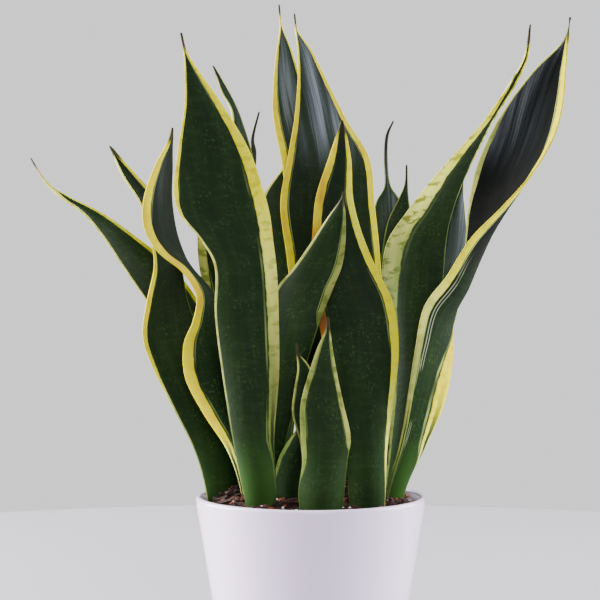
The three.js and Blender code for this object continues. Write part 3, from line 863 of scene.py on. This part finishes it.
grow_leaf(
    "channel_right",
    cup=[0.3, 0.14, 0.06, 0.03, 0.05, 0.14, 0.22, 0.24, 0.24, 0.24, 0.24, 0.24, 0.24, 0.24, 0.24],
    ribs=[
        ((44, -10, 94), (52, -2, 93)),
        ((46, -13, 128), (57, 0, 128)),
        ((53, -24, 158), (70.5, -3, 157)),
        ((57, -32, 185), (81.5, -3, 182)),
        ((61, -39, 214), (87, -1, 211)),
        ((66, -43, 240), (86, -1, 232)),
        ((79, -45, 258), (89, -2, 252)),
        ((93, -46, 280), (94, -4, 276)),
        ((111, -44, 298), (96, -4, 299)),
        ((129, -42, 318), (100, -6, 322)),
        ((142, -39, 339), (108, -11, 343)),
        ((148, -36, 359), (118, -19, 361)),
        ((150, -35, 379), (132, -27, 380)),
        ((151, -35.5, 396), (148.5, -33.5, 397)),
        ((151.5, -38, 410), (152.5, -38, 410)),
    ],
    margins=[
        (128, 0.5, 0.95, 0.5, 0.9),
        (143, 0.8, 0.92, 3, 0.65),
        (157, 1.5, 0.85, 10, 0.45),
        (170, 2.4, 0.8, 14, 0.3),
        (185, 3, 0.78, 16.5, 0.12),
        (200, 3.5, 0.82, 17, 0.02),
        (212, 4, 0.8, 14, -0.04),
        (222, 4.4, 0.72, 9, -0.06),
        (232, 4.4, 0.62, 3, 0),
        (250, 4.2, 0.45, 0.6, 0.6),
        (268, 3.4, 0.2, 0.5, 0.7),
        (303, 3.6, 0.06, 1.2, 0.74),
        (318, 4.8, 0.07, 2.4, 0.74),
        (343, 5.2, 0.08, 1.8, 0.74),
        (361, 4.2, 0.12, 0.5, 0.8),
        (380, 2.6, 0.2, 0.5, 0.7),
        (396, 0.9, 0.2, 0.4, 0.7),
        (410, 0.35, 0.6, 0.35, 0.7),
    ],
    split=(158, 202),
    painted_foot_light=1,
    painted_sheen=(0.4, 315, 0.75),
    dark=1.0,
    pins=1.0,
    tip=15,
    bands=0.3,
)
grow_leaf(
    "grey_right",
    cup=0.08,
    ribs=[
        ((41, 22, 89), (49, 24, 89)),
        ((42, 24, 125), (53, 27, 125)),
        ((53, 26, 169), (72, 32, 170)),
        ((64, 31, 213), (88, 39, 216)),
        ((75, 37, 251), (98, 45, 254)),
        ((83, 43, 279), (101, 50, 281)),
        ((90, 49, 301), (100, 53, 302)),
        ((95.5, 54, 314), (99, 55, 314)),
        ((98.5, 57, 322), (99.5, 57, 322)),
    ],
    margins=[
        (125, 0.5, 0.9, 0.5, 0.9),
        (213, 0.5, 1, 0.6, 0.7),
        (280, 0.5, 0.9, 0.7, 0.6),
        (302, 0.5, 0.8, 0.7, 0.6),
        (322, 0.4, 0.6, 0.4, 0.6),
    ],
    painted_foot_light=0.2,
    painted_sheen=(0.75, 240, 0.1),
    dark=0.3,
)

# Back leaves. They stand behind the others and lean away, and a painted grey sheen on their upper
# halves stands for the light from above.
grow_leaf(
    "back_left",
    cup=-0.06,
    ribs=[
        ((-30, 32, 87), (-20, 34, 87)),
        ((-33, 32, 124), (-18, 35, 124)),
        ((-39, 32, 162), (-17, 36, 162)),
        ((-46, 32, 206), (-18, 37, 206)),
        ((-51, 34, 244), (-22, 40, 244)),
        ((-54, 36, 276), (-26, 42, 276)),
        ((-56, 38, 305), (-31, 44, 305)),
        ((-53, 42, 334), (-36, 47, 334)),
        ((-50, 47, 362), (-44, 49, 361)),
        ((-57, 50, 378), (-52, 51, 379)),
        ((-61.5, 53, 391.5), (-59.5, 53, 391.5)),
        ((-63, 54, 395.5), (-62, 54, 395.5)),
    ],
    margins=[
        (124, 0.6, 1, 0.5, 1),
        (206, 1, 0.8, 0.6, 1),
        (276, 1.4, 0.5, 0.7, 0.95),
        (320, 1.5, 0.3, 0.7, 0.9),
        (334, 1.3, 0.4, 0.7, 0.9),
        (362, 0.9, 0.5, 0.6, 0.9),
        (379, 0.5, 0.8, 0.6, 0.6),
        (395, 0.35, 0.6, 0.35, 0.6),
    ],
    painted_foot_light=0.2,
    painted_sheen=(0.35, 320, 0.2),
)
grow_leaf(
    "slim_back",
    cup=-0.06,
    ribs=[
        ((-36, 42, 86), (-27, 42, 86)),
        ((-38, 42, 123), (-28, 43, 123)),
        ((-40, 43, 167), (-27, 45, 167)),
        ((-43, 48, 219), (-27, 50, 218)),
        ((-45, 54, 264), (-28, 56, 264)),
        ((-47, 60, 299), (-31, 62, 300)),
        ((-44, 65, 323), (-35, 67, 323)),
        ((-39, 69, 341), (-35, 69, 341)),
        ((-38.5, 71.5, 351), (-36.5, 71.5, 351)),
        ((-34, 77, 368.5), (-33, 77, 368.5)),
    ],
    margins=[
        (123, 0.5, 1, 0.5, 1),
        (264, 0.8, 0.9, 0.8, 0.9),
        (323, 0.5, 1, 0.5, 1),
        (368, 0.35, 1, 0.35, 1),
    ],
    painted_foot_light=0.2,
    tip=36,
)
grow_leaf(
    "low_back",
    cup=-0.06,
    ribs=[
        ((-24, 46, 85), (-15, 46, 85)),
        ((-27, 48, 122), (-14, 48, 122)),
        ((-28, 53, 167), (-10, 51, 167)),
        ((-30, 58, 212), (-5, 55, 212)),
        ((-32, 65, 251), (-2, 62, 251)),
        ((-33, 72, 284), (-1, 69, 284)),
        ((-32, 77, 310), (-1, 74, 311)),
        ((-20, 81, 329), (-2, 79, 332)),
        ((-10.5, 82.5, 340), (-5, 81.5, 341)),
        ((-4, 84, 350.5), (-3, 84, 350.5)),
    ],
    margins=[
        (122, 0.5, 1, 0.5, 1),
        (251, 1.6, 0.8, 0.8, 0.9),
        (290, 2, 0.7, 0.8, 0.85),
        (311, 1.8, 0.65, 0.8, 0.7),
        (331, 1.2, 0.6, 0.7, 0.6),
        (350, 0.35, 0.6, 0.35, 0.6),
    ],
    painted_foot_light=0.2,
)
grow_leaf(
    "tall_back",
    cup=-0.05,
    ribs=[
        ((-8, 42, 86), (3, 42, 86)),
        ((-9, 42, 123), (5, 42, 123)),
        ((-9, 43, 167), (10, 43, 167)),
        ((-9, 47, 212), (15, 47, 212)),
        ((-10, 53, 257), (19, 52, 257)),
        ((-14, 60, 296), (19, 58, 296)),
        ((-18, 67, 332), (14, 64, 330)),
        ((-24, 73, 364), (4, 72, 363)),
        ((-24, 79, 389), (-5, 79, 387)),
        ((-22, 85, 411), (-12, 85, 411)),
        ((-20, 90.5, 427), (-18, 90.5, 427)),
        ((-21, 96, 443), (-20, 96, 443)),
    ],
    margins=[
        (123, 1, 0.9, 1, 0.9),
        (212, 2.2, 0.3, 1.2, 0.6),
        (257, 3.4, 0.08, 1.4, 0.4),
        (296, 4.4, 0.02, 1.6, 0.3),
        (332, 4.6, 0, 1.6, 0.2),
        (364, 3.8, 0, 1.5, 0.15),
        (389, 2.4, 0.02, 1.2, 0.2),
        (411, 1.3, 0.1, 0.9, 0.3),
        (427, 0.6, 0.4, 0.6, 0.4),
        (443, 0.35, 0.6, 0.35, 0.6),
    ],
    painted_foot_light=0.2,
    painted_sheen=(0.5, 330, -0.1),
    dark=0.3,
    bands=0.15,
)
grow_leaf(
    "broad_back",
    cup=-0.05,
    ribs=[
        ((1, 26, 88), (16, 24, 89)),
        ((-1, 27, 125), (20, 24, 125)),
        ((-4, 30, 162), (26, 25, 163)),
        ((-8, 33, 200), (35, 26, 199)),
        ((-11, 37, 238), (45, 29, 235)),
        ((-15, 41, 273), (44, 33, 272)),
        ((-19, 45, 305), (41, 37, 304)),
        ((-15, 49, 332), (38, 41, 334)),
        ((-10, 54, 362), (24, 48, 359)),
        ((-8, 59, 386), (11, 55, 386)),
        ((-8, 63, 406), (1, 61, 407)),
        ((-9.5, 65.5, 420), (-7.5, 65.5, 420)),
        ((-10.5, 70, 432), (-9.5, 70, 432)),
    ],
    margins=[
        (125, 1, 0.9, 1, 0.9),
        (200, 2.6, 0.3, 2, 0.5),
        (238, 4, 0.08, 2.6, 0.3),
        (273, 4.6, 0.02, 3.2, 0.15),
        (305, 4.4, 0, 3.6, 0.06),
        (332, 3.8, 0, 3.6, 0.02),
        (362, 2.8, 0.02, 3, 0.02),
        (386, 1.8, 0.05, 2, 0.05),
        (406, 1, 0.2, 1.1, 0.2),
        (432, 0.35, 0.5, 0.35, 0.5),
    ],
    painted_foot_light=0.2,
    painted_sheen=(0.75, 322, 0.1),
    dark=0.35,
    bands=0.15,
)
grow_leaf(
    "long_tip_right",
    cup=-0.05,
    ribs=[
        ((18, 42, 86), (27, 40, 86)),
        ((17, 44, 123), (29, 42, 123)),
        ((21, 46, 167), (38, 43, 168)),
        ((26, 50, 212), (50, 46, 212)),
        ((32, 56, 251), (59, 52, 251)),
        ((39, 62, 283), (64, 59, 283)),
        ((43, 67, 307), (60, 65, 307)),
        ((49, 70, 319), (53, 70, 320)),
        ((49, 75, 338), (51.4, 75, 338)),
        ((50.3, 79, 353), (52.3, 79, 353)),
        ((55, 82, 363), (56, 82, 363)),
    ],
    margins=[
        (123, 0.5, 1, 0.5, 1),
        (212, 0.7, 0.9, 0.7, 0.9),
        (283, 0.8, 0.9, 1, 0.85),
        (307, 0.7, 0.9, 1.1, 0.8),
        (320, 0.5, 0.9, 0.5, 0.9),
        (338, 0.3, 1, 0.3, 1),
        (363, 0.3, 1, 0.3, 1),
    ],
    tip=34,
    painted_foot_light=0.2,
    painted_sheen=(0.4, 270, 0.2),
)
grow_leaf(
    "small_tip_right",
    cup=-0.06,
    ribs=[
        ((31, 28, 88), (40, 28, 88)),
        ((29, 30, 124), (40, 30, 124)),
        ((33, 32, 162), (50, 31, 162)),
        ((38, 35, 200), (60, 33, 200)),
        ((42, 41, 238), (67, 38, 238)),
        ((46, 47, 273), (69, 44, 273)),
        ((50, 52, 294), (66, 50, 294)),
        ((57, 55, 309), (64, 54, 308)),
        ((61.5, 57.5, 319.5), (63.5, 57.5, 319.5)),
        ((62.5, 61, 332), (63.5, 61, 332)),
    ],
    margins=[
        (124, 0.5, 1, 0.5, 1),
        (200, 0.7, 0.95, 0.7, 0.95),
        (273, 0.8, 0.95, 0.7, 0.95),
        (309, 0.5, 0.95, 0.5, 1),
        (332, 0.3, 1, 0.3, 1),
    ],
    tip=16,
    painted_foot_light=0.2,
)


# Soil. Bark and coir compost packed around the feet of the leaves, heaped in the middle and at the
# back, and low at the front. The body of it is one mass, down to the pot's floor.
soil_level = 0.119
soil_mound = 0.011
mound_foot = 0.3
low_front = 0.045
slope_length = 0.055
soil_gap = 0.0004
soil_columns = 150
soil_radius = outer_radius(soil_level) - wall - 0.0003


def soil_top(x, y):
    """The height of the soil at a place, with its mound, heaps, crumbs and grit."""
    inside = 1 - math.hypot(x, y) / soil_radius
    rise = smooth(inside / mound_foot) * smooth((y + low_front) / slope_length)
    heaps = noise.noise(Vector((x, y, 0)) * 110) * 0.0016
    crumbs = noise.noise(Vector((x, y, 0.1)) * 420) * 0.0009
    grit = noise.noise(Vector((x, y, 0.2)) * 1100) * 0.0004
    return soil_level + soil_mound * rise + (heaps + crumbs + grit) * smooth(inside / 0.05)


compost = Finish("bark_compost", Roughness=0.95)
spot = compost.node("ShaderNodeTexCoord", output="Object")
clods = compost.node("ShaderNodeTexNoise", None, {"Vector": spot, "Scale": 260.0, "Detail": 5.0})
specks = compost.node("ShaderNodeTexVoronoi", None, {"Vector": spot, "Scale": 620.0})
dark = compost.blend(compost.step(clods, 0.4, 0.65), shade(26, 17, 13), shade(66, 40, 27))
compost.feed(
    Base_Color=compost.blend(compost.step(specks, 0.32, 0.1) * 0.5, dark, shade(98, 58, 36)),
    Normal=compost.node("ShaderNodeBump", None, {"Height": clods, "Strength": 0.8, "Distance": 0.0012}),
)

bm = bmesh.new()
bmesh.ops.create_grid(bm, x_segments=soil_columns, y_segments=soil_columns, size=1)
for vert in bm.verts:
    a, b = vert.co.x, vert.co.y
    x = soil_radius * a * math.sqrt(1 - b * b / 2)
    y = soil_radius * b * math.sqrt(1 - a * a / 2)
    vert.co = (x, y, soil_top(x, y))
edge = [e for e in bm.edges if e.is_boundary]
for level, corner in (
    (floor_thickness + foot_radius, 0),
    (floor_thickness + soil_gap, foot_radius),
):
    edge = bmesh.ops.extrude_edge_only(bm, edges=edge)["geom"]
    for vert in (v for v in edge if isinstance(v, bmesh.types.BMVert)):
        radius = outer_radius(level) - wall - soil_gap - corner
        vert.co = (*(vert.co.xy.normalized() * radius), level)
    edge = [e for e in edge if isinstance(e, bmesh.types.BMEdge)]
bmesh.ops.edgeloop_fill(bm, edges=edge)
bmesh.ops.recalc_face_normals(bm, faces=bm.faces[:])
for face in bm.faces:
    face.smooth = True
placed("compost", bm, compost, "soil", "soil")


# Bark chips and perlite. Torn flat chips of red-brown bark and hard white grains of perlite lie loose
# on the compost, clear of the leaves.
chip_clearance = 0.001
most_tilt = 0.5
sunk_share = 0.25


def free_spot(dice, reach):
    """A place on the soil that is at least that far from every leaf and from the pot's wall."""
    while True:
        radius = (soil_radius - reach) * math.sqrt(dice.random())
        turn = math.tau * dice.random()
        x, y = radius * math.cos(turn), radius * math.sin(turn)
        here = Vector((x, y))
        for start, end in feet:
            a, b = start.xy, end.xy
            share = min(max((here - a).dot(b - a) / (b - a).length_squared, 0), 1)
            if (a.lerp(b, share) - here).length < reach + chip_clearance:
                break
        else:
            return x, y


def scatter(bm, dice, count, sizes, flatness, roughness):
    """Lumps of uneven shape, each with its own number in the layer called grain."""
    grain = bm.verts.layers.float.new("grain")
    for _ in range(count):
        size = dice.uniform(*sizes)
        x, y = free_spot(dice, size / 2)
        lump = bmesh.ops.create_icosphere(bm, subdivisions=1, radius=0.5)["verts"]
        colour = dice.random()
        stretch = Vector((size, size * dice.uniform(0.35, 0.8), size * dice.uniform(*flatness)))
        turn = Matrix.Rotation(dice.uniform(0, math.tau), 3, "Z")
        tilt = Matrix.Rotation(dice.uniform(-most_tilt, most_tilt), 3, "X")
        tilt = tilt @ Matrix.Rotation(dice.uniform(-most_tilt, most_tilt), 3, "Y")
        seat = Vector((x, y, soil_top(x, y) + stretch.z * sunk_share))
        for vert in lump:
            vert.co *= 1 + dice.uniform(-roughness, roughness)
            vert.co = turn @ tilt @ (vert.co * stretch) + seat
            vert[grain] = colour


bark = Finish("bark_chips", Roughness=0.9)
grain = bark.node("ShaderNodeAttribute", {"attribute_name": "grain"}, output="Fac")
spot = bark.node("ShaderNodeTexCoord", output="Object")
fibre = bark.node("ShaderNodeTexNoise", None, {"Vector": spot, "Scale": 900.0, "Detail": 3.0})
brown = bark.node(
    "ShaderNodeValToRGB",
    {"stops": [
        (0.0, shade(30, 18, 14)),
        (0.4, shade(62, 30, 20)),
        (0.7, shade(96, 46, 26)),
        (0.9, shade(138, 72, 38)),
        (1.0, shade(176, 112, 66)),
    ]},
    {0: grain},
)
bark.feed(
    Base_Color=bark.blend(bark.step(fibre, 0.4, 0.7) * 0.5, brown, shade(24, 14, 11)),
    Normal=bark.node("ShaderNodeBump", None, {"Height": fibre, "Strength": 0.6, "Distance": 0.0005}),
)
chip_count = 900
chip_sizes = (0.0025, 0.0075)
bm = bmesh.new()
scatter(bm, random.Random(3), chip_count, chip_sizes, flatness=(0.2, 0.45), roughness=0.25)
placed("loose_bark", bm, bark, "soil")

perlite = Finish("perlite", Roughness=0.85)
spot = perlite.node("ShaderNodeTexCoord", output="Object")
pores = perlite.node("ShaderNodeTexVoronoi", None, {"Vector": spot, "Scale": 1500.0})
perlite.feed(
    Base_Color=perlite.blend(pores, shade(214, 206, 194), shade(246, 244, 238)),
    Normal=perlite.node("ShaderNodeBump", None, {"Height": pores, "Strength": 0.5, "Distance": 0.0004}),
)
grain_count = 70
grain_sizes = (0.0014, 0.0034)
bm = bmesh.new()
scatter(bm, random.Random(11), grain_count, grain_sizes, flatness=(0.6, 0.9), roughness=0.15)
placed("loose_perlite", bm, perlite, "soil")


# Table and studio. A plain pale table top, and soft light from tall windows on both sides, as a
# plant is shown on a bright day indoors.
table_radius = 0.9
plant_middle = Vector((0, 0, 0.22))
table_top = Finish("pale_table", Roughness=0.6)
spot = table_top.node("ShaderNodeTexCoord", output="Object")
cloud = table_top.node("ShaderNodeTexNoise", None, {"Vector": spot, "Scale": 2.0})
table_top.feed(Base_Color=table_top.blend(cloud, shade(166, 166, 171), shade(174, 174, 178)))
bm = bmesh.new()
bmesh.ops.create_circle(bm, cap_ends=True, segments=160, radius=table_radius)
mesh = bpy.data.meshes.new("table")
bm.to_mesh(mesh)
bm.free()
mesh.materials.append(table_top.material)
table = bpy.data.objects.new("table", mesh)
bpy.context.scene.collection.objects.link(table)

for name, place, size, energy, colour in (
    ("left_window", (-1.5, 0.3, 0.7), (1.4, 1.6), 168, (1.0, 0.95, 0.97)),
    ("right_window", (1.5, 0.3, 0.7), (1.4, 1.6), 88, (0.985, 0.985, 1.0)),
    ("back_window", (0.2, 1.5, 1.3), (1.8, 0.9), 30, (0.97, 0.98, 1.0)),
    ("front_fill", (0.3, -1.9, 0.9), (0.8, 0.8), 24, (0.92, 0.9, 1.0)),
):
    light = bpy.data.objects.new(name, bpy.data.lights.new(name, "AREA"))
    light.data.shape = "RECTANGLE"
    light.data.size, light.data.size_y = size
    light.data.energy = energy
    light.data.color = colour
    light.location = place
    light.rotation_euler = (plant_middle - light.location).to_track_quat("-Z", "Y").to_euler()
    bpy.context.scene.collection.objects.link(light)

room = bpy.data.worlds.new("room")
room.use_nodes = True
nodes, links = room.node_tree.nodes, room.node_tree.links
dim_light = nodes["Background"]
dim_light.inputs["Color"].default_value = (0.8, 0.78, 0.94, 1)
dim_light.inputs["Strength"].default_value = 0.1
pale_wall = nodes.new("ShaderNodeBackground")
pale_wall.inputs["Color"].default_value = (0.8, 0.8, 0.82, 1)
pale_wall.inputs["Strength"].default_value = 1.4
seen = nodes.new("ShaderNodeLightPath")
chosen = nodes.new("ShaderNodeMixShader")
links.new(seen.outputs["Is Camera Ray"], chosen.inputs[0])
links.new(dim_light.outputs[0], chosen.inputs[1])
links.new(pale_wall.outputs[0], chosen.inputs[2])
links.new(chosen.outputs[0], nodes["World Output"].inputs["Surface"])
bpy.context.scene.world = room
